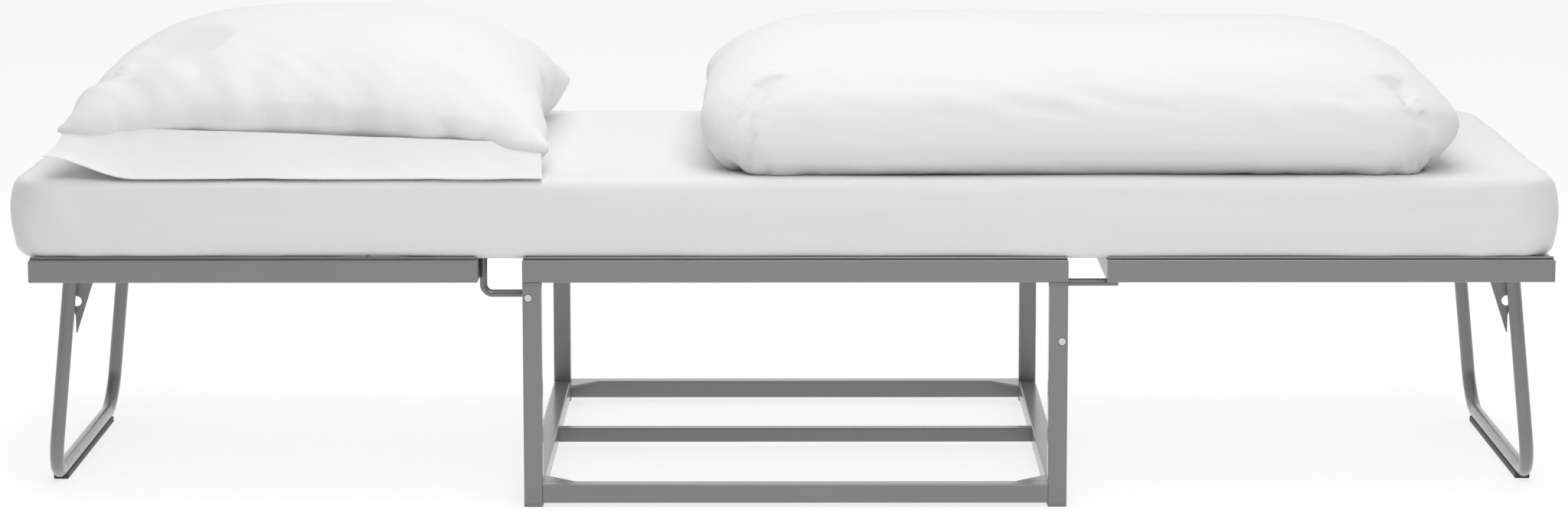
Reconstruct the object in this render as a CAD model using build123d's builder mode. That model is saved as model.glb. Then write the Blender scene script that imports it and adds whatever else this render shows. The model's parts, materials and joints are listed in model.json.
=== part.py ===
from build123d import *

import os
from math import cos, radians, sin, sqrt

# A guest bed that folds into a cube. X runs from head (-) to foot (+), Y from the near
# side (-) to the far side (+), Z up. The origin is on the floor under the bed's middle.

# Driving dimensions, in millimetres and degrees.
bed_width = 800.0  # outer width of the base, the sections and the centre frame
cube_length = 720.0  # outer length of the base cube
cube_shift = 12.7  # the cube's middle from the bed's middle
tube_side = 25.0  # square tube of the base
tube_wall = 1.5
tube_corner = 2.0
bar_side = 20.0  # middle bar across the floor ring
bar_offset = 10.0  # that bar's distance past the middle
foot_height = 5.0
post_top = 295.0
plug_depth = 6.0
gusset_leg = 40.0
gusset_thickness = 3.0
spacer_height = 6.0
rail_height = 30.0  # rectangular tube of the bed surface
rail_depth = 25.0
head_gap = 58.6  # between the cube and the head section
head_length = 592.4
foot_gap = 51.0
foot_length = 590.0
head_pivot_height = 280.5
foot_pivot_height = 222.0
pivot_inset = 7.5  # from the post's outer face
rod_diameter = 10.0
rod_inset = 43.0  # rod's middle from the frame's outer face
rod_bend = 12.0
weld_pad = 1.0
weld_reach = 17.5  # how far the foot rods run on under the section
pin_recess = 0.5
pin_clearance = 0.08
bush_wall = 0.9
bush_flange = 2.5
flange_thickness = 1.5
wire_diameter = 4.0
wire_pitch = 60.0
leg_diameter = 19.0
leg_wall = 1.5
leg_inset = 135.0  # leg's middle from the frame's outer face
leg_lean = 5.8
leg_bend = 55.0
leg_pivot_drop = 12.0  # under the rails
leg_pivot_inset = 34.0  # from the section's end
leg_overrun = 6.0  # tube above the pivot
glide_height = 8.0
glide_width = 20.0
glide_lip = 4.0  # glide under the tube
bracket_thickness = 3.0
bracket_height = 91.0
bracket_reach = 36.0  # at the rail, inward of the pivot
bracket_back = 8.0  # outward of the pivot
bracket_tip = (5.8, 4.6)  # both inward of the pivot, clear of the other section when folded
bracket_hole = 14.0
bracket_hole_shift = 6.0
bracket_hole_drop = 47.5
bolt_diameter = 8.0
bolt_clearance = 0.1
nut_across = 13.0
nut_height = 6.5
side_gap = 0.5
pad_height = 100.0
pad_width = 794.0
pad_gap = 1.0
pad_corner = 25.0
pad_split = 380.0  # from the cube's middle
head_overhang = 25.0
foot_overhang = 6.0
pillow_size = (650.0, 750.0, 175.0)
pillow_start = 51.0  # from the mattress's head end
pillow_corner = 70.0
duvet_size = (1015.0, 780.0, 170.0)
duvet_start = 122.0  # from the mattress's foot end
duvet_corner = 60.0

# Derived positions.
half_width = bed_width / 2
cube_head = cube_shift - cube_length / 2
cube_foot = cube_shift + cube_length / 2
rail_base = post_top + spacer_height
rail_top = rail_base + rail_height
head_inner = cube_head - head_gap
head_outer = head_inner - head_length
foot_inner = cube_foot + foot_gap
foot_outer = foot_inner + foot_length
post_y = half_width - tube_side / 2
head_post_x = cube_head + tube_side / 2
foot_post_x = cube_foot - tube_side / 2
head_pivot_x = cube_head + pivot_inset
foot_pivot_x = cube_foot - pivot_inset
rod_radius = rod_diameter / 2
rod_y = half_width - rod_inset
bore_radius = rod_radius + pin_clearance
bush_radius = bore_radius + bush_wall
leg_radius = leg_diameter / 2
leg_y = half_width - leg_inset
leg_pivot_z = rail_base - leg_pivot_drop
leg_axis_z = glide_lip + leg_radius
leg_run = (leg_pivot_z - leg_axis_z) / cos(radians(leg_lean))
leg_shift = (leg_pivot_z - leg_axis_z) * sin(radians(leg_lean)) / cos(radians(leg_lean))
pad_base = rail_top + wire_diameter + side_gap
pad_top = pad_base + pad_height

pieces = {}


def keep(name, builder):
    """Label a finished piece and hold it for export."""
    builder.part.label = name
    pieces[name] = builder.part


def square_tube(plane, centre, side, length):
    """A square tube with rounded corners, standing on a plane."""
    with BuildPart() as tube:
        with BuildSketch(plane):
            with Locations(centre):
                RectangleRounded(side, side, tube_corner)
                inner = side - 2 * tube_wall
                RectangleRounded(inner, inner, tube_corner / 2, mode=Mode.SUBTRACT)
        extrude(amount=length)
    return tube


def post(x, y, hole_height):
    """A corner post with a hole through it for its pivot bush."""
    with BuildPart() as made:
        add(square_tube(Plane.XY.offset(foot_height), (x, y), tube_side, post_top - foot_height).part)
        outward = -1 if x < cube_shift else 1
        hole_x = x + outward * (tube_side / 2 - pivot_inset)
        with BuildSketch(Plane.XZ.offset(-y - tube_side)):
            with Locations((hole_x, hole_height)):
                Circle(bush_radius)
        extrude(amount=2 * tube_side, mode=Mode.SUBTRACT)
    return made


def bushes(x, height):
    """Two flanged bushes, one in each post of an end."""
    with BuildPart() as made:
        for side in (-1, 1):
            plane = Plane((x, side * half_width, height), x_dir=(1, 0, 0), z_dir=(0, -side, 0))
            with BuildSketch(plane):
                Circle(bush_radius)
                Circle(bore_radius, mode=Mode.SUBTRACT)
            extrude(amount=tube_side)
            with BuildSketch(plane.offset(tube_side)):
                Circle(bush_radius + bush_flange)
                Circle(bore_radius, mode=Mode.SUBTRACT)
            extrude(amount=flange_thickness)
    return made


def mitred_rail(near, far, run):
    """A rectangular tube cut at 45 degrees at both ends.

    near and far are the outer face's two ends and run is the direction towards the
    frame's inside, all in plan.
    """
    along = (far - near).normalized()
    grown = Axis.X if abs(along.X) > abs(along.Y) else Axis.Y

    def outline(inset):
        deep = rail_depth - inset
        return (
            near + along * inset + run * inset,
            far - along * inset + run * inset,
            far - along * deep + run * deep,
            near + along * deep + run * deep,
        )

    with BuildPart() as made:
        with BuildSketch(Plane.XY.offset(rail_base)):
            Polygon(*outline(0), align=None)
        extrude(amount=rail_height)
        fillet(made.edges().filter_by(grown), tube_corner)
        with BuildSketch(Plane.XY.offset(rail_base + tube_wall)):
            Polygon(*outline(tube_wall), align=None)
        extrude(amount=rail_height - 2 * tube_wall, mode=Mode.SUBTRACT)
    return made


def frame_rails(prefix, low, high, low_name, high_name):
    """Four mitred rails round one part of the bed surface."""
    a = Vector(low, -half_width)
    b = Vector(high, -half_width)
    c = Vector(high, half_width)
    d = Vector(low, half_width)
    keep(f"{prefix}_rail_near", mitred_rail(a, b, Vector(0, 1)))
    keep(f"{prefix}_rail_far", mitred_rail(d, c, Vector(0, -1)))
    keep(f"{prefix}_{low_name}", mitred_rail(a, d, Vector(1, 0)))
    keep(f"{prefix}_{high_name}", mitred_rail(b, c, Vector(-1, 0)))


def wire_mesh(low, high):
    """Cross wires on the rails, long wires under them and an edge wire on each side."""
    middle = (low + high) / 2
    radius = wire_diameter / 2
    edge_y = half_width - 3 * radius
    inside = high - low - 2 * rail_depth
    crossing = int((high - low - 2 * rail_depth) // wire_pitch) + 1
    running = 2 * int((half_width - rail_depth - wire_diameter) // wire_pitch) + 1
    with BuildPart() as made:
        with BuildSketch(Plane.XZ.offset(-edge_y + radius)):
            with Locations((middle, rail_top + radius)):
                with GridLocations(wire_pitch, 0, crossing, 1):
                    Circle(radius)
        extrude(amount=2 * (edge_y - radius))
        with BuildSketch(Plane.YZ.offset(low + rail_depth)):
            with Locations((0, rail_top - radius)):
                with GridLocations(wire_pitch, 0, running, 1):
                    Circle(radius)
        extrude(amount=inside)
        with BuildSketch(Plane.YZ.offset(low + tube_corner)):
            with Locations((-edge_y, rail_top + radius), (edge_y, rail_top + radius)):
                Circle(radius)
        extrude(amount=high - low - 2 * tube_corner)
    return made


def bent_rod(points):
    """A round rod along a bent line, and its mirror image on the far side."""
    with BuildPart() as made:
        with BuildLine() as route:
            FilletPolyline(*points, radius=rod_bend)
        start = Vector(*points[0])
        with BuildSketch(Plane(start, z_dir=Vector(*points[1]) - start)):
            Circle(rod_radius)
        sweep(path=route.wire())
        mirror(about=Plane.XZ)
    return made


def leg_tube(pivot_x, side):
    """One tube bent into a U that leans outwards, with its pivot hole."""
    lean = radians(leg_lean)
    plane = Plane((pivot_x, 0, leg_pivot_z), x_dir=(0, 1, 0), z_dir=(cos(lean), 0, side * sin(lean)))
    with BuildPart() as made:
        with BuildLine(plane) as route:
            Polyline((-leg_y, leg_overrun), (-leg_y, -leg_run), (leg_y, -leg_run), (leg_y, leg_overrun))
            fillet(route.vertices().sort_by(Axis.Z)[:2], leg_bend)
        end = Plane(
            plane.from_local_coords(Vector(-leg_y, leg_overrun, 0)),
            x_dir=(0, 1, 0),
            z_dir=(side * sin(lean), 0, -cos(lean)),
        )
        with BuildSketch(end):
            Circle(leg_radius)
            Circle(leg_radius - leg_wall, mode=Mode.SUBTRACT)
        sweep(path=route.wire())
        with BuildSketch(Plane.XZ.offset(-half_width)):
            with Locations((pivot_x, leg_pivot_z)):
                Circle(bolt_diameter / 2 + bolt_clearance)
        extrude(amount=bed_width, mode=Mode.SUBTRACT)
    return made


def leg_glide(pivot_x, side):
    """The strip that the U's floor bar stands on, hollowed to the tube."""
    length = 2 * (leg_y - leg_bend)
    x = pivot_x + side * leg_shift
    with BuildPart() as made:
        with BuildSketch(Plane.XZ.offset(-length / 2)):
            with Locations((x, glide_height / 2)):
                RectangleRounded(glide_width, glide_height, glide_lip / 4)
            with Locations((x, leg_axis_z)):
                Circle(leg_radius, mode=Mode.SUBTRACT)
        extrude(amount=length)
    return made


def leg_brackets(pivot_x, side):
    """Two tapering plates under the section's end tube, beside the legs."""
    inward = -side
    inner_y = leg_y - leg_radius - side_gap
    low = rail_base - bracket_height
    corners = (
        (pivot_x - inward * bracket_back, rail_base),
        (pivot_x + inward * bracket_reach, rail_base),
        (pivot_x + inward * bracket_tip[0], low),
        (pivot_x + inward * bracket_tip[1], low),
        (pivot_x + inward * bracket_tip[1], rail_base - bracket_height * 3 / 4),
        (pivot_x - inward * bracket_back, rail_base - bracket_height / 4),
    )
    with BuildPart() as made:
        for start in (inner_y, bracket_thickness - inner_y):
            with BuildSketch(Plane.XZ.offset(start)):
                Polygon(*corners, align=None)
                with Locations((pivot_x + inward * bracket_hole_shift, rail_base - bracket_hole_drop)):
                    Circle(bracket_hole / 2, mode=Mode.SUBTRACT)
                with Locations((pivot_x, leg_pivot_z)):
                    Circle(bolt_diameter / 2 + bolt_clearance, mode=Mode.SUBTRACT)
            extrude(amount=-bracket_thickness)
    return made


def leg_bolts(pivot_x):
    """Two hexagon bolts, each through a leg and its bracket."""
    head_y = leg_y + leg_radius + side_gap
    shank = 2 * leg_radius + 2 * side_gap + bracket_thickness + nut_height
    with BuildPart() as made:
        for side in (-1, 1):
            plane = Plane((pivot_x, side * head_y, leg_pivot_z), x_dir=(1, 0, 0), z_dir=(0, -side, 0))
            with BuildSketch(plane):
                RegularPolygon(nut_across / sqrt(3), 6)
            extrude(amount=-nut_height * 0.8)
            with BuildSketch(plane):
                Circle(bolt_diameter / 2)
            extrude(amount=shank)
    return made


def leg_nuts(pivot_x):
    """The bolts' nuts, on the brackets."""
    with BuildPart() as made:
        for side in (-1, 1):
            face_y = side * (leg_y - leg_radius - side_gap - bracket_thickness)
            plane = Plane((pivot_x, face_y, leg_pivot_z), x_dir=(1, 0, 0), z_dir=(0, -side, 0))
            with BuildSketch(plane):
                RegularPolygon(nut_across / sqrt(3), 6)
                Circle(bolt_diameter / 2, mode=Mode.SUBTRACT)
            extrude(amount=nut_height)
    return made


def pad(low, high):
    """One part of the mattress."""
    with BuildPart() as made:
        with BuildSketch(Plane.XY.offset(pad_base)):
            with Locations(((low + high) / 2, 0)):
                Rectangle(high - low, pad_width)
        extrude(amount=pad_height)
        fillet(made.edges().filter_by(Axis.X), pad_corner)
    return made


def soft_block(low, size, corner):
    """A pillow or a folded duvet that lies on the mattress."""
    length, width, height = size
    with BuildPart() as made:
        with Locations((low + length / 2, 0, pad_top + side_gap + height / 2)):
            Box(length, width, height)
        fillet(made.edges(), corner)
    return made


# Base cube.
ends = (("head", head_post_x, head_pivot_height), ("foot", foot_post_x, foot_pivot_height))
for end_name, end_x, pivot_height in ends:
    keep(f"post_{end_name}_near", post(end_x, -post_y, pivot_height))
    keep(f"post_{end_name}_far", post(end_x, post_y, pivot_height))

ring_z = foot_height + tube_side / 2
inside_x = cube_length - 2 * tube_side
inside_y = bed_width - 2 * tube_side
across = Plane.YZ.offset(cube_head + tube_side)
keep("ring_rail_near", square_tube(across, (-post_y, ring_z), tube_side, inside_x))
keep("ring_rail_far", square_tube(across, (post_y, ring_z), tube_side, inside_x))
bar_z = foot_height + tube_side - bar_side / 2
keep("middle_bar", square_tube(across, (bar_offset, bar_z), bar_side, inside_x))
lengthways = Plane.XZ.offset(-inside_y / 2)
keep("ring_rail_head", square_tube(lengthways, (head_post_x, ring_z), tube_side, inside_y))
keep("ring_rail_foot", square_tube(lengthways, (foot_post_x, ring_z), tube_side, inside_y))

with BuildPart() as corner_gussets:
    with BuildSketch(Plane.XY.offset(foot_height + tube_side - gusset_thickness)):
        for sx in (-1, 1):
            for sy in (-1, 1):
                gx = cube_shift + sx * inside_x / 2
                gy = sy * inside_y / 2
                Polygon((gx, gy), (gx - sx * gusset_leg, gy), (gx, gy - sy * gusset_leg), align=None)
    extrude(amount=gusset_thickness)
keep("corner_gussets", corner_gussets)

post_places = [(x, y) for x in (head_post_x, foot_post_x) for y in (-post_y, post_y)]
with BuildPart() as post_feet:
    with BuildSketch(Plane.XY):
        with Locations(*post_places):
            RectangleRounded(tube_side, tube_side, tube_corner)
    extrude(amount=foot_height)
keep("post_feet", post_feet)

with BuildPart() as post_plugs:
    with BuildSketch(Plane.XY.offset(post_top - plug_depth)):
        with Locations(*post_places):
            RectangleRounded(tube_side - 2 * tube_wall, tube_side - 2 * tube_wall, tube_corner / 2)
    extrude(amount=plug_depth)
keep("post_plugs", post_plugs)

with BuildPart() as lid_spacers:
    with BuildSketch(Plane.XY.offset(post_top)):
        with Locations(*post_places):
            RectangleRounded(tube_side, tube_side, tube_corner)
    extrude(amount=spacer_height)
keep("lid_spacers", lid_spacers)

keep("head_pivot_bushes", bushes(head_pivot_x, head_pivot_height))
keep("foot_pivot_bushes", bushes(foot_pivot_x, foot_pivot_height))

# Bed surface: head section, loose centre frame, foot section.
frame_rails("head", head_outer, head_inner, "end_tube", "inner_tube")
frame_rails("centre", cube_head, cube_foot, "tube_head", "tube_foot")
frame_rails("foot", foot_inner, foot_outer, "inner_tube", "end_tube")
keep("head_mesh", wire_mesh(head_outer, head_inner))
keep("centre_mesh", wire_mesh(cube_head, cube_foot))
keep("foot_mesh", wire_mesh(foot_inner, foot_outer))

# Cranked rods, whose ends are the pivot pins.
pin_end = -half_width + pin_recess
head_rod_x = head_inner + rod_radius
head_crank_rods = bent_rod(
    (
        (head_rod_x, -rod_y, rail_top - tube_corner),
        (head_rod_x, -rod_y, head_pivot_height),
        (head_pivot_x, -rod_y, head_pivot_height),
        (head_pivot_x, pin_end, head_pivot_height),
    )
)
keep("head_crank_rods", head_crank_rods)

foot_rod_z = rail_base - weld_pad - rod_radius
with BuildPart() as foot_crank_rods:
    add(
        bent_rod(
            (
                (foot_inner + weld_reach, -rod_y, foot_rod_z),
                (foot_pivot_x, -rod_y, foot_rod_z),
                (foot_pivot_x, -rod_y, foot_pivot_height),
                (foot_pivot_x, pin_end, foot_pivot_height),
            )
        ).part
    )
    with BuildSketch(Plane.XY.offset(foot_rod_z)):
        with Locations((foot_inner + weld_reach / 2, -rod_y), (foot_inner + weld_reach / 2, rod_y)):
            Rectangle(weld_reach - 2 * tube_corner, rod_radius)
    extrude(amount=weld_pad + rod_radius)
keep("foot_crank_rods", foot_crank_rods)

# Folding legs.
legs = (
    ("head", head_outer + leg_pivot_inset, -1),
    ("foot", foot_outer - leg_pivot_inset, 1),
)
for end_name, pivot_x, side in legs:
    keep(f"{end_name}_leg", leg_tube(pivot_x, side))
    keep(f"{end_name}_leg_glide", leg_glide(pivot_x, side))
    keep(f"{end_name}_leg_brackets", leg_brackets(pivot_x, side))
    keep(f"{end_name}_leg_bolts", leg_bolts(pivot_x))
    keep(f"{end_name}_leg_nuts", leg_nuts(pivot_x))

# Mattress in three parts, pillow and folded duvet.
head_end = head_outer - head_overhang
foot_end = foot_outer + foot_overhang
split_head = cube_shift - pad_split
split_foot = cube_shift + pad_split
keep("head_pad", pad(head_end, split_head - pad_gap / 2))
keep("centre_pad", pad(split_head + pad_gap / 2, split_foot - pad_gap / 2))
keep("foot_pad", pad(split_foot + pad_gap / 2, foot_end))
keep("pillow", soft_block(head_end + pillow_start, pillow_size, pillow_corner))
keep("duvet", soft_block(foot_end - duvet_start - duvet_size[0], duvet_size, duvet_corner))

os.makedirs("parts", exist_ok=True)
for name, part in pieces.items():
    export_step(part, f"parts/{name}.step")
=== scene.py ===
"""A grey steel guest bed that folds into a cube, with its mattress, pillow and folded duvet."""

from __future__ import annotations

import json
import logging
import math
from collections.abc import Callable, Iterable
from dataclasses import dataclass, field
from enum import Enum

import bpy
import numpy as np
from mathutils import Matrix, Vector, noise

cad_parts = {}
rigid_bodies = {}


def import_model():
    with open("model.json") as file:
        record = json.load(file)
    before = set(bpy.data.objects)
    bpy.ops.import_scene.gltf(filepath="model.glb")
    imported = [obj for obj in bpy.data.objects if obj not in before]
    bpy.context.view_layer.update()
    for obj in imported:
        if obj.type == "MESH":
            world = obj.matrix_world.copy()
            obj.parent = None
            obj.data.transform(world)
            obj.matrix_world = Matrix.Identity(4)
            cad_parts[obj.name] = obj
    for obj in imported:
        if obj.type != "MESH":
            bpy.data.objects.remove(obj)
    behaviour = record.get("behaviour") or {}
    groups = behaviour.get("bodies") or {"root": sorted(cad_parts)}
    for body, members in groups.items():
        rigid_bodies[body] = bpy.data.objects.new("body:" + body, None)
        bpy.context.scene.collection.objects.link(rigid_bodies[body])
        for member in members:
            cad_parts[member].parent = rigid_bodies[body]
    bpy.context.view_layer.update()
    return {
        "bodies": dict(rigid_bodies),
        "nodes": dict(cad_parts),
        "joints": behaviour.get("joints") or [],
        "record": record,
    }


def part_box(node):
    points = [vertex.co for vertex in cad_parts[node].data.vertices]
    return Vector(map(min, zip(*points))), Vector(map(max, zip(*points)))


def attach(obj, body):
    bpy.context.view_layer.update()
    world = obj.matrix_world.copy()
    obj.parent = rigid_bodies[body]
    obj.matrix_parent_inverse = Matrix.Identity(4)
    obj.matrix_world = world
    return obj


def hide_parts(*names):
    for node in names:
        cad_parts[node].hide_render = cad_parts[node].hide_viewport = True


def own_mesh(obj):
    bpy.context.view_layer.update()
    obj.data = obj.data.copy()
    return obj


LOG = logging.getLogger("folding_cot")
Socket = bpy.types.NodeSocket
Field = Callable[[np.ndarray, np.ndarray], np.ndarray]


class Fabric(Enum):
    """The three white cloths on the bed."""

    SHEET = "fitted_sheet"
    PILLOW = "pillow_cover"
    DUVET = "duvet_cover"


class Value:
    """A socket that takes part in Python arithmetic and adds Math nodes for it."""

    def __init__(self, maker: "NodeMaker", socket: Socket) -> None:
        """Wrap a socket.

        Args:
            maker: the material's node maker.
            socket: the output that holds the value.
        """
        self.maker = maker
        self.socket = socket

    def _math(self, operation: str, first: object, second: object) -> "Value":
        """Add one Math node and return its result."""
        made = self.maker.node("ShaderNodeMath", {"operation": operation}, {0: first, 1: second})
        return Value(self.maker, made.outputs[0])

    def __add__(self, other: object) -> "Value":
        """Add."""
        return self._math("ADD", self, other)

    def __mul__(self, other: object) -> "Value":
        """Multiply."""
        return self._math("MULTIPLY", self, other)

    __radd__ = __add__
    __rmul__ = __mul__


class NodeMaker:
    """Adds nodes to one material."""

    def __init__(self, name: str) -> None:
        """Start an empty node material.

        Args:
            name: the material's name.
        """
        self.material = bpy.data.materials.new(name)
        self.material.use_nodes = True
        self.tree = self.material.node_tree
        self.shader = self.tree.nodes["Principled BSDF"]
        self.place = self.node("ShaderNodeTexCoord", {}, {}).outputs["Object"]

    def node(
        self, kind: str, settings: dict[str, object], inputs: dict[object, object]
    ) -> bpy.types.Node:
        """Add one node.

        Args:
            kind: the node's type.
            settings: its own settings, set first.
            inputs: a value, socket or Value for each socket, by name or number.

        Returns:
            The new node.
        """
        made = self.tree.nodes.new(kind)
        for name, value in settings.items():
            setattr(made, name, value)
        for name, value in inputs.items():
            self.put(made.inputs[name], value)
        return made

    def put(self, socket: Socket, value: object) -> None:
        """Link or set one input socket.

        Args:
            socket: the input.
            value: a Value, a socket or a plain number, colour or vector.
        """
        if isinstance(value, Value):
            value = value.socket
        if isinstance(value, Socket):
            self.tree.links.new(value, socket)
        else:
            socket.default_value = value

    def noise(
        self, scale: float, detail: float = 3.0, stretch: tuple[float, ...] = (1, 1, 1)
    ) -> Value:
        """Noise on the object's own coordinates.

        Args:
            scale: waves per metre, about.
            detail: how many octaves.
            stretch: the coordinates' scale on each axis.

        Returns:
            The noise, about 0.5 on average.
        """
        place = self.node("ShaderNodeMapping", {}, {"Vector": self.place, "Scale": stretch})
        made = self.node(
            "ShaderNodeTexNoise",
            {},
            {"Vector": place.outputs[0], "Scale": scale, "Detail": detail, "Roughness": 0.55},
        )
        return Value(self, made.outputs[0])

    def wave(self, direction: str, scale: float) -> Value:
        """Straight bands across one axis, for threads.

        Args:
            direction: X, Y or Z.
            scale: bands per metre, about.

        Returns:
            The bands, from 0 to 1.
        """
        made = self.node(
            "ShaderNodeTexWave",
            {"wave_type": "BANDS", "bands_direction": direction},
            {
                "Vector": self.place,
                "Scale": scale,
                "Distortion": 0.6,
                "Detail": 1.0,
                "Detail Scale": 2.0,
            },
        )
        return Value(self, made.outputs["Fac"])

    def shades(self, factor: Value, dark: tuple[float, ...], light: tuple[float, ...]) -> Socket:
        """A colour between two, by a factor.

        Args:
            factor: 0 for dark, 1 for light.
            dark: the first colour.
            light: the second colour.

        Returns:
            The colour's socket.
        """
        made = self.node(
            "ShaderNodeMix",
            {"data_type": "RGBA"},
            {0: factor, 6: (*dark, 1.0), 7: (*light, 1.0)},
        )
        return made.outputs[2]

    def bump(self, height: Value, strength: float, distance: float) -> None:
        """Feed a height to the shader's normal.

        Args:
            height: the height, about 0 to 1.
            strength: how strong the bump is.
            distance: the height's size in metres.
        """
        made = self.node(
            "ShaderNodeBump", {}, {"Strength": strength, "Distance": distance, "Height": height}
        )
        self.put(self.shader.inputs["Normal"], made.outputs[0])


@dataclass(frozen=True)
class PowderCoat:
    """Satin grey powder coat with a fine orange peel, bare past bare_from on either side."""

    name: str = "grey_powder_coat"
    grey: float = 0.222
    roughness: float = 0.34
    metal: float = 0.15
    bare_from: float = 0.0
    bare_metal: float = 0.9
    bare_colour: tuple[float, ...] = (0.62, 0.62, 0.61, 1.0)

    def make(self) -> bpy.types.Material:
        """Build the material."""
        m = NodeMaker(self.name)
        cloud = m.noise(9.0, 4.0)
        peel = m.noise(900.0, 2.0)
        low = tuple(self.grey * k for k in (0.93, 0.93, 0.94))
        high = tuple(self.grey * k for k in (1.07, 1.07, 1.08))
        m.put(m.shader.inputs["Base Color"], m.shades(cloud, low, high))
        m.put(m.shader.inputs["Roughness"], cloud * 0.10 + peel * 0.05 + (self.roughness - 0.075))
        m.put(m.shader.inputs["Metallic"], self.metal)
        m.put(m.shader.inputs["Coat Weight"], 0.6)
        m.put(m.shader.inputs["Coat Roughness"], 0.16)
        m.bump(peel, 0.10, 0.0003)
        if self.bare_from > 0:
            split = m.node("ShaderNodeSeparateXYZ", {}, {0: m.place})
            across = m.node("ShaderNodeMath", {"operation": "ABSOLUTE"}, {0: split.outputs[1]})
            past = m.node(
                "ShaderNodeMath",
                {"operation": "GREATER_THAN"},
                {0: across.outputs[0], 1: self.bare_from},
            )
            bare = Value(m, past.outputs[0])
            painted = m.shades(cloud, low, high)
            steel = m.node(
                "ShaderNodeMix", {"data_type": "RGBA"}, {0: bare, 6: painted, 7: self.bare_colour}
            )
            m.put(m.shader.inputs["Base Color"], steel.outputs[2])
            m.put(m.shader.inputs["Metallic"], bare * (self.bare_metal - self.metal) + self.metal)
        return m.material


@dataclass(frozen=True)
class Zinc:
    """Bright zinc plating on the bolts and nuts."""

    name: str = "zinc_plate"

    def make(self) -> bpy.types.Material:
        """Build the material."""
        m = NodeMaker(self.name)
        grain = m.noise(300.0, 3.0)
        dull, bright = (0.52, 0.52, 0.51), (0.68, 0.68, 0.66)
        m.put(m.shader.inputs["Base Color"], m.shades(grain, dull, bright))
        m.put(m.shader.inputs["Metallic"], 1.0)
        m.put(m.shader.inputs["Roughness"], grain * 0.2 + 0.25)
        m.bump(grain, 0.08, 0.0002)
        return m.material


@dataclass(frozen=True)
class MouldedPlastic:
    """Dark moulded plastic for the feet, spacers, bushes and glides."""

    name: str
    grey: float

    def make(self) -> bpy.types.Material:
        """Build the material."""
        m = NodeMaker(self.name)
        grain = m.noise(700.0, 3.0)
        low, high = self.grey * 0.85, self.grey * 1.15
        m.put(m.shader.inputs["Base Color"], m.shades(grain, (low, low, low), (high, high, high)))
        m.put(m.shader.inputs["Roughness"], grain * 0.15 + 0.5)
        m.bump(grain, 0.12, 0.0002)
        return m.material


@dataclass(frozen=True)
class Cotton:
    """White cotton with a fine weave and soft creasing."""

    name: str
    white: float
    threads: float
    crease: float

    def make(self) -> bpy.types.Material:
        """Build the material."""
        m = NodeMaker(self.name)
        cloud = m.noise(5.0, 4.0)
        threads = m.wave("X", self.threads) + m.wave("Y", self.threads) + m.wave("Z", self.threads)
        weave = threads * 0.33
        soft = m.noise(26.0, 5.0, (1.0, 1.0, 1.6))
        shade = self.white * 0.985
        low = (shade, shade, shade)
        high = (self.white, self.white, self.white)
        m.put(m.shader.inputs["Base Color"], m.shades(cloud, low, high))
        m.put(m.shader.inputs["Roughness"], cloud * 0.08 + 0.84)
        m.put(m.shader.inputs["Sheen Weight"], 0.15)
        m.put(m.shader.inputs["Sheen Roughness"], 0.5)
        m.put(m.shader.inputs["Specular IOR Level"], 0.25)
        m.bump(weave * 0.06 + soft * self.crease, 0.5, 0.002)
        return m.material


def deselect() -> None:
    """Leave edit mode and deselect everything."""
    if bpy.context.mode != "OBJECT":
        bpy.ops.object.mode_set(mode="OBJECT")
    bpy.ops.object.select_all(action="DESELECT")


def take(obj: bpy.types.Object) -> None:
    """Make one object the only selected and active one."""
    deselect()
    obj.select_set(True)
    bpy.context.view_layer.objects.active = obj


def apply_all(obj: bpy.types.Object) -> None:
    """Apply every modifier of an object, in order."""
    take(obj)
    for modifier in list(obj.modifiers):
        bpy.ops.object.modifier_apply(modifier=modifier.name)


def settle(obj: bpy.types.Object) -> None:
    """Move an object's place into its mesh."""
    take(obj)
    bpy.ops.object.transform_apply(location=True, rotation=True, scale=True)


def points(obj: bpy.types.Object) -> np.ndarray:
    """An object's vertices as rows of x, y and z."""
    flat = np.empty(len(obj.data.vertices) * 3)
    obj.data.vertices.foreach_get("co", flat)
    return flat.reshape(-1, 3)


def set_points(obj: bpy.types.Object, placed: np.ndarray) -> None:
    """Write an object's vertices back."""
    obj.data.vertices.foreach_set("co", np.ascontiguousarray(placed, dtype=float).ravel())
    obj.data.update()


def normals(obj: bpy.types.Object) -> np.ndarray:
    """An object's vertex normals as rows."""
    flat = np.empty(len(obj.data.vertices) * 3)
    obj.data.vertices.foreach_get("normal", flat)
    return flat.reshape(-1, 3)


def ripple(at: np.ndarray, scale: tuple[float, float, float], seed: float) -> np.ndarray:
    """Smooth noise at each point.

    Args:
        at: the points.
        scale: waves per metre on each axis.
        seed: moves the pattern.

    Returns:
        One number a point, from about -1 to 1.
    """
    moved = at * np.array(scale) + seed
    return np.array([noise.noise(Vector(p)) for p in moved])


def block(name: str, low: Iterable[float], high: Iterable[float]) -> bpy.types.Object:
    """A block between two corners, to be shaped further.

    Args:
        name: the object's name.
        low: its lowest corner.
        high: its highest corner.

    Returns:
        The new object, at the origin.
    """
    deselect()
    low_v, high_v = Vector(low), Vector(high)
    bpy.ops.mesh.primitive_cube_add(size=1.0, location=(low_v + high_v) / 2)
    made = bpy.context.active_object
    made.name = name
    made.scale = high_v - low_v
    settle(made)
    return made


def voxels(obj: bpy.types.Object, size: float) -> None:
    """Remesh an object into even small faces.

    Args:
        obj: a closed mesh.
        size: the faces' size in metres.
    """
    modifier = obj.modifiers.new("even", "REMESH")
    modifier.mode = "VOXEL"
    modifier.voxel_size = size
    modifier.use_smooth_shade = True
    apply_all(obj)


def smooth(obj: bpy.types.Object, rounds: int) -> None:
    """Relax an object's surface."""
    modifier = obj.modifiers.new("relax", "SMOOTH")
    modifier.factor = 0.5
    modifier.iterations = rounds
    apply_all(obj)


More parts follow.
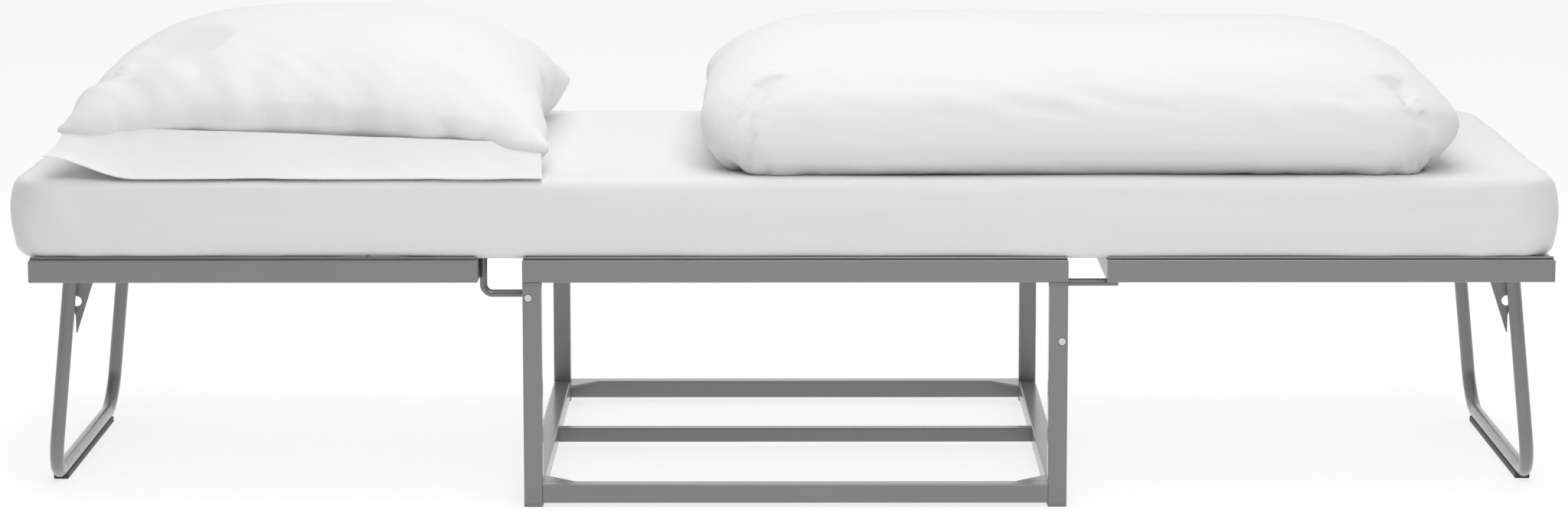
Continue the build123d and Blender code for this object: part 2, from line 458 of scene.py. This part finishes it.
@dataclass(frozen=True)
class Swelling:
    """How a cloth cover fills out and wrinkles over its filling."""

    growth: float
    pressure: float
    frames: int
    cap: float
    bending: float = 0.3

    def run(self, obj: bpy.types.Object, floor: float) -> None:
        """Simulate the cover and keep the result.

        Args:
            obj: the cover, evenly meshed.
            floor: no point ends lower than this.
        """
        start = points(obj)
        modifier = obj.modifiers.new("cover", "CLOTH")
        modifier.settings.quality = 5
        modifier.settings.mass = 0.25
        modifier.settings.tension_stiffness = 12
        modifier.settings.compression_stiffness = 12
        modifier.settings.shear_stiffness = 4
        modifier.settings.bending_stiffness = self.bending
        modifier.settings.use_pressure = True
        modifier.settings.uniform_pressure_force = self.pressure
        modifier.settings.shrink_min = -self.growth
        modifier.settings.effector_weights.gravity = 0.0
        modifier.collision_settings.use_collision = False
        modifier.point_cache.frame_start = 1
        modifier.point_cache.frame_end = self.frames
        scene = bpy.context.scene
        for frame in range(1, self.frames + 1):
            scene.frame_set(frame)
        graph = bpy.context.evaluated_depsgraph_get()
        shown = obj.evaluated_get(graph)
        flat = np.empty(len(start) * 3)
        shown.data.vertices.foreach_get("co", flat)
        moved = flat.reshape(-1, 3) - start
        obj.modifiers.remove(modifier)
        scene.frame_set(1)
        length = np.linalg.norm(moved, axis=1, keepdims=True)
        moved *= np.minimum(1.0, self.cap / np.maximum(length, 1e-9))
        placed = start + moved
        placed[:, 2] = np.maximum(placed[:, 2], floor)
        set_points(obj, placed)


def displace(obj: bpy.types.Object, height: Field) -> None:
    """Move each point along its normal.

    Args:
        obj: the object.
        height: gives the distance in metres from the points and their normals.
    """
    at, out = points(obj), normals(obj)
    set_points(obj, at + out * height(at, out)[:, None])


def finish_smooth(obj: bpy.types.Object, degrees: float = 40.0) -> None:
    """Shade an object smoothly but for its sharp edges."""
    take(obj)
    bpy.ops.object.shade_smooth_by_angle(angle=math.radians(degrees))


def dress(obj: bpy.types.Object, material: bpy.types.Material) -> None:
    """Give an object one material."""
    obj.data.materials.clear()
    obj.data.materials.append(material)


@dataclass
class SteelFrame:
    """The CAD's own steel, plastic and fastener pieces, with their finishes."""

    coat: PowderCoat = field(default_factory=PowderCoat)
    wire: PowderCoat = field(
        default_factory=lambda: PowderCoat("wire_powder_coat", 0.20, 0.32, 0.2)
    )
    pins: PowderCoat = field(
        default_factory=lambda: PowderCoat("rod_powder_coat", 0.17, 0.26, 0.3, 0.3985)
    )
    zinc: Zinc = field(default_factory=Zinc)
    dark: MouldedPlastic = field(default_factory=lambda: MouldedPlastic("dark_plastic", 0.05))
    pale: MouldedPlastic = field(default_factory=lambda: MouldedPlastic("grey_plastic", 0.22))

    def finish_for(self, node: str) -> PowderCoat | Zinc | MouldedPlastic:
        """The finish of one CAD node, by its name."""
        if node.endswith("_mesh"):
            return self.wire
        if node.endswith("_crank_rods"):
            return self.pins
        if node.endswith(("_bolts", "_nuts")):
            return self.zinc
        if node in ("post_feet", "lid_spacers"):
            return self.pale
        if node.endswith(("_bushes", "_plugs", "_glide")):
            return self.dark
        return self.coat

    def dress(self, nodes: dict[str, bpy.types.Object], soft: Iterable[str]) -> None:
        """Put the finishes on the CAD nodes.

        Args:
            nodes: the frame's CAD objects by name.
            soft: the nodes that cloth pieces replace.
        """
        made: dict[str, bpy.types.Material] = {}
        left_out = set(soft)
        for node, obj in nodes.items():
            if node in left_out:
                continue
            finish = self.finish_for(node)
            if finish.name not in made:
                made[finish.name] = finish.make()
            dress(obj, made[finish.name])
            LOG.info("dressed %s with %s", node, finish.name)


@dataclass
class Mattress:
    """One mattress under a fitted sheet, cut where it folds."""

    cotton: bpy.types.Material
    corner: float = 0.060
    edge: float = 0.014
    voxel: float = 0.006
    proud: float = 0.0015
    sink: float = 0.0045
    keep_head: float = 0.56
    keep_foot: float = 0.74
    raised: tuple[float, float] = (-0.94, -0.45)
    raise_run: float = 0.06
    side_run: float = 0.0030
    side_slant: float = 0.0026
    top_swell: float = 0.0012
    end_wrinkle: float = 0.0032
    corner_fan: float = 0.0022
    end_belly: float = 0.004
    side_belly: float = 0.002

    def shape(self, low: Vector, high: Vector) -> bpy.types.Object:
        """The whole mattress as one closed form.

        Args:
            low: its lowest corner.
            high: its highest corner.

        Returns:
            The new object.
        """
        made = block("mattress", low, high)
        bpy.ops.object.mode_set(mode="EDIT")
        bpy.ops.mesh.select_mode(type="EDGE")
        bpy.ops.mesh.select_all(action="DESELECT")
        bpy.ops.object.mode_set(mode="OBJECT")
        for e in made.data.edges:
            a, b = (made.data.vertices[i].co for i in e.vertices)
            e.select = abs(a.x - b.x) < 1e-6 and abs(a.y - b.y) < 1e-6
        bpy.ops.object.mode_set(mode="EDIT")
        bpy.ops.mesh.bevel(offset=self.corner, segments=8, profile=0.5)
        bpy.ops.mesh.select_mode(type="VERT")
        bpy.ops.mesh.select_all(action="SELECT")
        bpy.ops.object.mode_set(mode="OBJECT")
        bevel = made.modifiers.new("edge", "BEVEL")
        bevel.width = self.edge
        bevel.segments = 5
        bevel.limit_method = "ANGLE"
        bevel.angle_limit = math.radians(60)
        apply_all(made)
        voxels(made, self.voxel)
        return made

    def creases(self, low: Vector, high: Vector) -> Field:
        """Shallow sheet wrinkles, pulled along the sides and fanned at the corners."""
        middle = (low + high) / 2

        def height(at: np.ndarray, out: np.ndarray) -> np.ndarray:
            side = np.clip(np.abs(out[:, 1]) * 1.4 - 0.3, 0, 1)
            top = np.clip(out[:, 2], 0, 1)
            end = np.clip(np.abs(out[:, 0]) * 1.4 - 0.3, 0, 1)
            long_run = ripple(at, (2.2, 3.0, 26.0), 3.1)
            long_run = long_run + 0.5 * ripple(at, (5.0, 4.0, 60.0), 9.7)
            slant = at.copy()
            slant[:, 0] += 1.6 * at[:, 2]
            pulled = ripple(slant, (9.0, 2.0, 14.0), 5.3)
            made = side * (self.side_run * long_run + self.side_slant * pulled)
            made += top * self.top_swell * ripple(at, (4.0, 5.0, 1.0), 1.7)
            made += end * self.end_wrinkle * ripple(at, (3.0, 16.0, 5.0), 7.9)
            from_end = np.minimum(at[:, 0] - low.x, high.x - at[:, 0])
            near_corner = np.exp(-from_end / 0.07) * np.clip(1 - top, 0, 1)
            fan = np.sin((at[:, 2] - low.z) * 55 + from_end * 90 + 2.0 * np.sign(at[:, 1]))
            made += self.corner_fan * near_corner * fan
            belly = 1 - ((at[:, 2] - middle.z) / ((high.z - low.z) / 2)) ** 2
            made += self.end_belly * end * belly + self.side_belly * side * belly
            return made

        return height

    def part(
        self, whole: bpy.types.Object, name: str, start: float | None, stop: float | None
    ) -> bpy.types.Object:
        """Cut one part out of the whole mattress.

        Args:
            whole: the whole mattress.
            name: the part's name.
            start: where it starts along X, or None at the mattress's end.
            stop: where it stops.

        Returns:
            The part, closed at its cuts.
        """
        take(whole)
        bpy.ops.object.duplicate()
        made = bpy.context.active_object
        made.name = name
        for cut, outward in ((start, -1.0), (stop, 1.0)):
            if cut is None:
                continue
            take(made)
            bpy.ops.object.mode_set(mode="EDIT")
            bpy.ops.mesh.select_all(action="SELECT")
            bpy.ops.mesh.bisect(
                plane_co=(cut, 0, 0), plane_no=(outward, 0, 0), use_fill=True, clear_outer=True
            )
            bpy.ops.object.mode_set(mode="OBJECT")
        finish_smooth(made, 50)
        dress(made, self.cotton)
        return made

    def build(self) -> None:
        """Make the mattress and tie its parts to the frame."""
        low = Vector(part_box("head_pad")[0])
        high = Vector(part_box("foot_pad")[1])
        high.z += self.proud
        split_head = (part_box("head_pad")[1][0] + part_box("centre_pad")[0][0]) / 2
        split_foot = (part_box("centre_pad")[1][0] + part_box("foot_pad")[0][0]) / 2
        low.z -= self.sink
        whole = self.shape(low, high)
        smooth(whole, 1)
        displace(whole, self.creases(low, high))
        at = points(whole)
        start, stop = self.raised
        rising = np.clip((at[:, 0] - start) / self.raise_run, 0, 1)
        slit = rising * np.clip((stop - at[:, 0]) / self.raise_run, 0, 1)
        at[:, 2] = np.maximum(at[:, 2], low.z + self.sink * slit)
        set_points(whole, at)
        parts = (
            ("head_mattress", "head_pad", "head_section", None, split_head),
            ("centre_mattress", "centre_pad", "centre_frame", split_head, split_foot),
            ("foot_mattress", "foot_pad", "foot_section", split_foot, None),
        )
        folds = (("head_section_fold", self.keep_head), ("foot_section_fold", self.keep_foot))
        for name, node, body, start, stop in parts:
            made = self.part(whole, name, start, stop)
            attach(made, body)
            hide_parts(node)
            for joint, keep in folds:
                if joint.startswith(name[:4]):
                    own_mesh(made)
            LOG.info("made %s", name)
        bpy.data.objects.remove(whole)


@dataclass
class Pillow:
    """A plump pillow in a case whose open end hangs over the near side as a flap."""

    cotton: bpy.types.Material
    middle: Vector = field(default_factory=lambda: Vector((-0.640, 0.005, 0.0)))
    half_length: float = 0.318
    half_width: float = 0.335
    seam_height: float = 0.050
    seam_tilt: float = 0.012
    crown: float = 0.122
    voxel: float = 0.0065
    cover: Swelling = field(default_factory=lambda: Swelling(0.07, 3.0, 20, 0.011, 0.08))
    fan_depth: float = 0.0062
    lean_depth: float = 0.0054
    fine_depth: float = 0.0026
    corner_depth: float = 0.0055
    side_depth: float = 0.0028
    swell_depth: float = 0.0030
    pinch: float = 0.035
    flap_top_y: float = -0.322
    flap_low_y: float = -0.394
    flap_depth: float = 0.1
    flap_thickness: float = 0.0012

    def body(self, base: float) -> bpy.types.Object:
        """The filled case.

        Args:
            base: the height of the mattress under it.

        Returns:
            The new object.
        """
        made = block("pillow_body", (-1, -1, -1), (1, 1, 1))
        bpy.ops.object.mode_set(mode="EDIT")
        bpy.ops.mesh.select_all(action="SELECT")
        bpy.ops.mesh.subdivide(number_cuts=47)
        bpy.ops.object.mode_set(mode="OBJECT")
        u, v, w = points(made).T
        u = np.sign(u) * np.abs(u) ** 0.9
        v = np.sign(v) * np.abs(v) ** 0.9
        full = ((1 - np.abs(u) ** 3) * (1 - np.abs(v) ** 2.7)).clip(0, 1) ** 0.6
        x = self.middle.x + self.half_length * u * (1 - self.pinch * (1 - v**2) * np.abs(u))
        y = self.middle.y + self.half_width * v * (1 - self.pinch * (1 - u**2) * np.abs(v))
        seam = self.seam_height - self.seam_tilt * (u + 0.35) * np.clip(-v, 0, 1)
        z = base + seam + w * (self.crown * full + 0.004)
        set_points(made, np.stack([x, y, np.maximum(z, base)], 1))
        voxels(made, self.voxel)
        smooth(made, 3)
        self.cover.run(made, base)
        displace(made, self.gathers())
        at = points(made)
        at[:, 2] = np.maximum(at[:, 2], base)
        set_points(made, at)
        return made

    def gathers(self) -> Field:
        """Wrinkles that run out of the seams and corners."""

        def height(at: np.ndarray, _out: np.ndarray) -> np.ndarray:
            u = (at[:, 0] - self.middle.x) / self.half_length
            v = (at[:, 1] - self.middle.y) / self.half_width
            near = np.exp(-(((v + 0.90) / 0.26) ** 2))
            corner = np.exp(-(((np.abs(u) - 0.92) / 0.26) ** 2))
            corner = corner * np.exp(-(((np.abs(v) - 0.92) / 0.34) ** 2))
            side = np.exp(-(((np.abs(u) - 0.95) / 0.16) ** 2))
            fan = ripple(at, (20.0, 5.0, 7.0), 2.2)
            slant = at.copy()
            slant[:, 0] += 0.9 * (at[:, 1] + 0.3)
            lean = ripple(slant, (14.0, 4.0, 5.0), 6.4)
            fine = ripple(slant, (38.0, 11.0, 12.0), 9.1)
            wide = ripple(at, (4.0, 4.0, 4.0), 4.2)
            across = ripple(at, (7.0, 24.0, 9.0), 7.7)
            made = near * (self.fan_depth * fan + self.lean_depth * lean + self.fine_depth * fine)
            made = made + self.corner_depth * corner * lean
            return made + self.side_depth * side * across + self.swell_depth * wide

        return height

    def flap(self, base: float) -> bpy.types.Object:
        """The case's open end, a strip that leaves the seam and lies on the mattress.

        Args:
            base: the height of the mattress under it.

        Returns:
            The new object.
        """
        deselect()
        bpy.ops.mesh.primitive_grid_add(x_subdivisions=150, y_subdivisions=26, size=2.0)
        made = bpy.context.active_object
        made.name = "pillow_flap"
        at = points(made)
        along, down = at[:, 0], (1 - at[:, 1]) / 2
        left = np.clip((-along - 0.55) / 0.45, 0, 1)
        x = self.middle.x + (self.half_length - 0.004) * along + 0.006 * along * down
        x -= 0.018 * down * left
        y = self.flap_top_y + (self.flap_low_y - self.flap_top_y) * down**1.1
        sag = (1 - down) ** 1.25
        seam = self.seam_height + 0.004 - self.seam_tilt * (along + 0.35)
        z = base + 0.0015 + seam * sag
        flat = np.stack([x, y, 0 * x], 1)
        slant = flat.copy()
        slant[:, 0] += 1.4 * flat[:, 1]
        wave = ripple(flat, (9.0, 6.0, 1.0), 8.8)
        fold = ripple(slant, (26.0, 9.0, 1.0), 1.3)
        loose = np.sin(np.pi * np.clip(down * 0.92 + 0.04, 0, 1))
        z += loose * (0.0090 * wave + 0.0050 * fold)
        y += 0.006 * loose * fold + 0.003 * down * wave
        lift = np.clip((-0.66 - along) / 0.34, 0, 1)
        z += 0.030 * lift * lift * (3 - 2 * lift) * down**1.3
        z = np.maximum(z, base + 0.0008)
        set_points(made, np.stack([x, y, z], 1))
        thick = made.modifiers.new("cloth", "SOLIDIFY")
        thick.thickness = self.flap_thickness
        thick.offset = 1.0
        apply_all(made)
        return made

    def build(self) -> None:
        """Make the pillow and tie it to its body."""
        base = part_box("pillow")[0][2] + 0.0012
        body = self.body(base)
        flap = self.flap(base)
        for made in (body, flap):
            finish_smooth(made, 60)
            dress(made, self.cotton)
            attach(made, "pillow")
            LOG.info("made %s", made.name)
        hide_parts("pillow")


@dataclass
class Duvet:
    """A thick duvet, folded into a soft slab."""

    cotton: bpy.types.Material
    voxel: float = 0.0075
    girth: float = 0.052
    top: float = 0.163
    half_width: float = 0.388
    fall: float = 0.27
    corner: float = 0.11
    upper_roll: float = 0.34
    lower_roll: float = 0.12
    cover: Swelling = field(default_factory=lambda: Swelling(0.03, 2.5, 20, 0.006, 0.2))

    def build(self) -> None:
        """Make the duvet and tie it to its body."""
        low, high = (Vector(c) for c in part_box("duvet"))
        base = low.z + 0.0012
        made = block("duvet_folded", (-1, -1, -1), (1, 1, 1))
        bpy.ops.object.mode_set(mode="EDIT")
        bpy.ops.mesh.select_all(action="SELECT")
        bpy.ops.mesh.subdivide(number_cuts=63)
        bpy.ops.object.mode_set(mode="OBJECT")
        self.round_off(made, low, high, base)
        voxels(made, self.voxel)
        smooth(made, 4)
        self.cover.run(made, base)
        displace(made, self.folds(low, high))
        at = points(made)
        at[:, 2] = np.maximum(at[:, 2], base)
        at[:, 1] = np.clip(at[:, 1], low.y - 0.008, high.y + 0.008)
        set_points(made, at)
        finish_smooth(made, 60)
        dress(made, self.cotton)
        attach(made, "duvet")
        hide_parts("duvet")
        LOG.info("made %s", made.name)

    def round_off(self, obj: bpy.types.Object, low: Vector, high: Vector, base: float) -> None:
        """Turn the block into a soft mound with a full roll all round.

        Args:
            obj: the block, from -1 to 1 on each axis.
            low: the duvet's lowest corner.
            high: its highest corner.
            base: the height that it lies on.
        """
        unit = points(obj)
        upper = unit[:, 2] > 0
        half = np.array([(high.x - low.x) / 2, self.half_width])
        flat = unit[:, :2] * half
        core = np.clip(flat, self.corner - half, half - self.corner)
        out = flat - core
        length = np.linalg.norm(out, axis=1, keepdims=True)
        longest = np.abs(out).max(axis=1, keepdims=True)
        plan = core + out * longest / np.maximum(length, 1e-9)
        reach = np.abs(unit[:, :2]).max(axis=1)
        roll = np.where(upper, self.upper_roll, self.lower_roll)
        inner = np.minimum(reach, 1 - roll)
        across, rise = (reach - inner) / roll, unit[:, 2]
        pull = np.maximum(np.abs(across), np.abs(rise))
        pull = pull / np.maximum(np.hypot(across, rise), 1e-9)
        plan *= ((inner + across * pull * roll) / np.maximum(reach, 1e-9))[:, None]
        tall = np.where(upper, self.top - self.girth, self.girth)
        placed = np.column_stack([plan, rise * pull * tall])
        u = placed[:, 0] / half[0]
        v = placed[:, 1] / self.half_width
        lie = 1 - self.fall * np.abs(v) ** 2.2
        lie = lie - 0.10 * np.clip(-u, 0, 1) ** 3 - 0.07 * np.clip(u, 0, 1) ** 4
        placed[:, 2] *= np.where(upper, lie, 1.0)
        middle = np.array([(low.x + high.x) / 2, (low.y + high.y) / 2, base + self.girth])
        set_points(obj, placed + middle)

    def folds(self, low: Vector, high: Vector) -> Field:
        """Soft swells on the top and long creases on the near roll."""

        def height(at: np.ndarray, out: np.ndarray) -> np.ndarray:
            face = np.clip(np.abs(out[:, 1]) * 1.3, 0, 1)
            top = np.clip(out[:, 2], 0, 1)
            made = 0.0075 * top * ripple(at, (3.6, 2.6, 2.0), 5.5)
            made += face * 0.0032 * ripple(at, (3.0, 5.0, 20.0), 2.6)
            tilt = at.copy()
            tilt[:, 2] += 0.22 * at[:, 0]
            made += face * 0.0022 * ripple(tilt, (6.0, 8.0, 48.0), 4.9)
            band = np.exp(-(((at[:, 2] - (low.z + 0.088)) / 0.028) ** 2)) * face
            made += 0.0030 * band * ripple(tilt, (16.0, 8.0, 60.0), 7.2)
            ends = np.exp(-np.minimum(at[:, 0] - low.x, high.x - at[:, 0]) / 0.09)
            made += 0.0042 * ends * ripple(at, (7.0, 9.0, 12.0), 3.3)
            corner = np.exp(-(((at[:, 0] - high.x) / 0.06) ** 2)) * np.clip(1 - top, 0, 1)
            made += 0.0025 * corner * np.sin((at[:, 2] - low.z) * 60 + at[:, 1] * 9)
            hem = np.exp(-(((at[:, 2] - (low.z + 0.030)) / 0.0045) ** 2)) * face
            made -= 0.0022 * hem
            return made

        return height


@dataclass
class Studio:
    """A white floor, soft light and the camera."""

    spot: Vector = field(default_factory=lambda: Vector((0.0066, -6.3075, 1.2329)))
    pitch: float = 0.15143
    yaw: float = 0.00136
    roll: float = 0.00077
    lens: float = 104.2
    near: float = 0.05
    far: float = 0.95

    def floor(self) -> None:
        """A wide flat pale floor that gives off a little light."""
        deselect()
        bpy.ops.mesh.primitive_plane_add(size=60.0, location=(0, 0, -0.0005))
        made = bpy.context.active_object
        made.name = "floor"
        m = NodeMaker("white_floor")
        cloud = m.noise(1.5, 2.0)
        dull, bright = (0.33, 0.33, 0.33), (0.35, 0.35, 0.35)
        m.put(m.shader.inputs["Base Color"], m.shades(cloud, dull, bright))
        m.put(m.shader.inputs["Roughness"], 0.8)
        m.put(m.shader.inputs["Specular IOR Level"], 0.1)
        m.put(m.shader.inputs["Emission Color"], (1.0, 1.0, 1.0, 1.0))
        m.put(m.shader.inputs["Emission Strength"], 0.74)
        dress(made, m.material)

    def lamp(
        self,
        name: str,
        at: tuple[float, ...],
        aim: tuple[float, ...],
        size: float,
        power: float,
    ) -> None:
        """One square area light.

        Args:
            name: its name.
            at: its place.
            aim: the point it faces.
            size: its side in metres.
            power: its power in watts.
        """
        data = bpy.data.lights.new(name, "AREA")
        data.shape = "SQUARE"
        data.size = size
        data.energy = power
        made = bpy.data.objects.new(name, data)
        made.location = at
        made.rotation_euler = (Vector(aim) - Vector(at)).to_track_quat("-Z", "Y").to_euler()
        bpy.context.collection.objects.link(made)

    def light(self) -> None:
        """White surroundings, brighter on the far side, and two large lamps."""
        world = bpy.data.worlds.new("white_room")
        world.use_nodes = True
        nodes, links = world.node_tree.nodes, world.node_tree.links
        nodes["Background"].inputs["Color"].default_value = (1.0, 1.0, 1.0, 1.0)
        place = nodes.new("ShaderNodeTexCoord")
        split = nodes.new("ShaderNodeSeparateXYZ")
        spread = nodes.new("ShaderNodeMapRange")
        spread.interpolation_type = "SMOOTHSTEP"
        limits = {"From Min": -0.3, "From Max": 0.6, "To Min": self.near, "To Max": self.far}
        for name, value in limits.items():
            spread.inputs[name].default_value = value
        links.new(place.outputs["Generated"], split.inputs[0])
        links.new(split.outputs["Y"], spread.inputs["Value"])
        links.new(spread.outputs["Result"], nodes["Background"].inputs["Strength"])
        bpy.context.scene.world = world
        self.lamp("top_lamp", (0.0, -0.6, 3.4), (0.0, 0.0, 0.35), 3.0, 62.0)
        self.lamp("near_lamp", (0.6, -3.4, 3.3), (0.0, -0.2, 0.3), 2.4, 70.0)

    def camera(self) -> None:
        """The camera, tilted down a little, with no shift."""
        data = bpy.data.cameras.new("camera")
        data.lens = self.lens
        data.sensor_width = 36.0
        data.clip_end = 100.0
        made = bpy.data.objects.new("camera", data)
        made.location = self.spot
        made.rotation_mode = "XYZ"
        made.rotation_euler = (math.pi / 2 - self.pitch, self.roll, self.yaw)
        bpy.context.collection.objects.link(made)
        bpy.context.scene.camera = made

    def build(self) -> None:
        """Set the stage."""
        self.floor()
        self.light()
        self.camera()
        bpy.context.scene.view_settings.view_transform = "Standard"
        bpy.context.scene.view_settings.look = "None"


def main() -> None:
    """Build the bed on its CAD frame."""
    logging.basicConfig(level=logging.INFO, format="%(message)s")
    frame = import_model()
    soft = ("head_pad", "centre_pad", "foot_pad", "pillow", "duvet")
    SteelFrame().dress(frame["nodes"], soft)
    Mattress(Cotton("sheet_cotton", 0.80, 420.0, 0.10).make()).build()
    Pillow(Cotton("pillow_cotton", 0.82, 420.0, 0.22).make()).build()
    Duvet(Cotton("duvet_cotton", 0.82, 420.0, 0.16).make()).build()
    Studio().build()


if __name__ == "__main__":
    main()
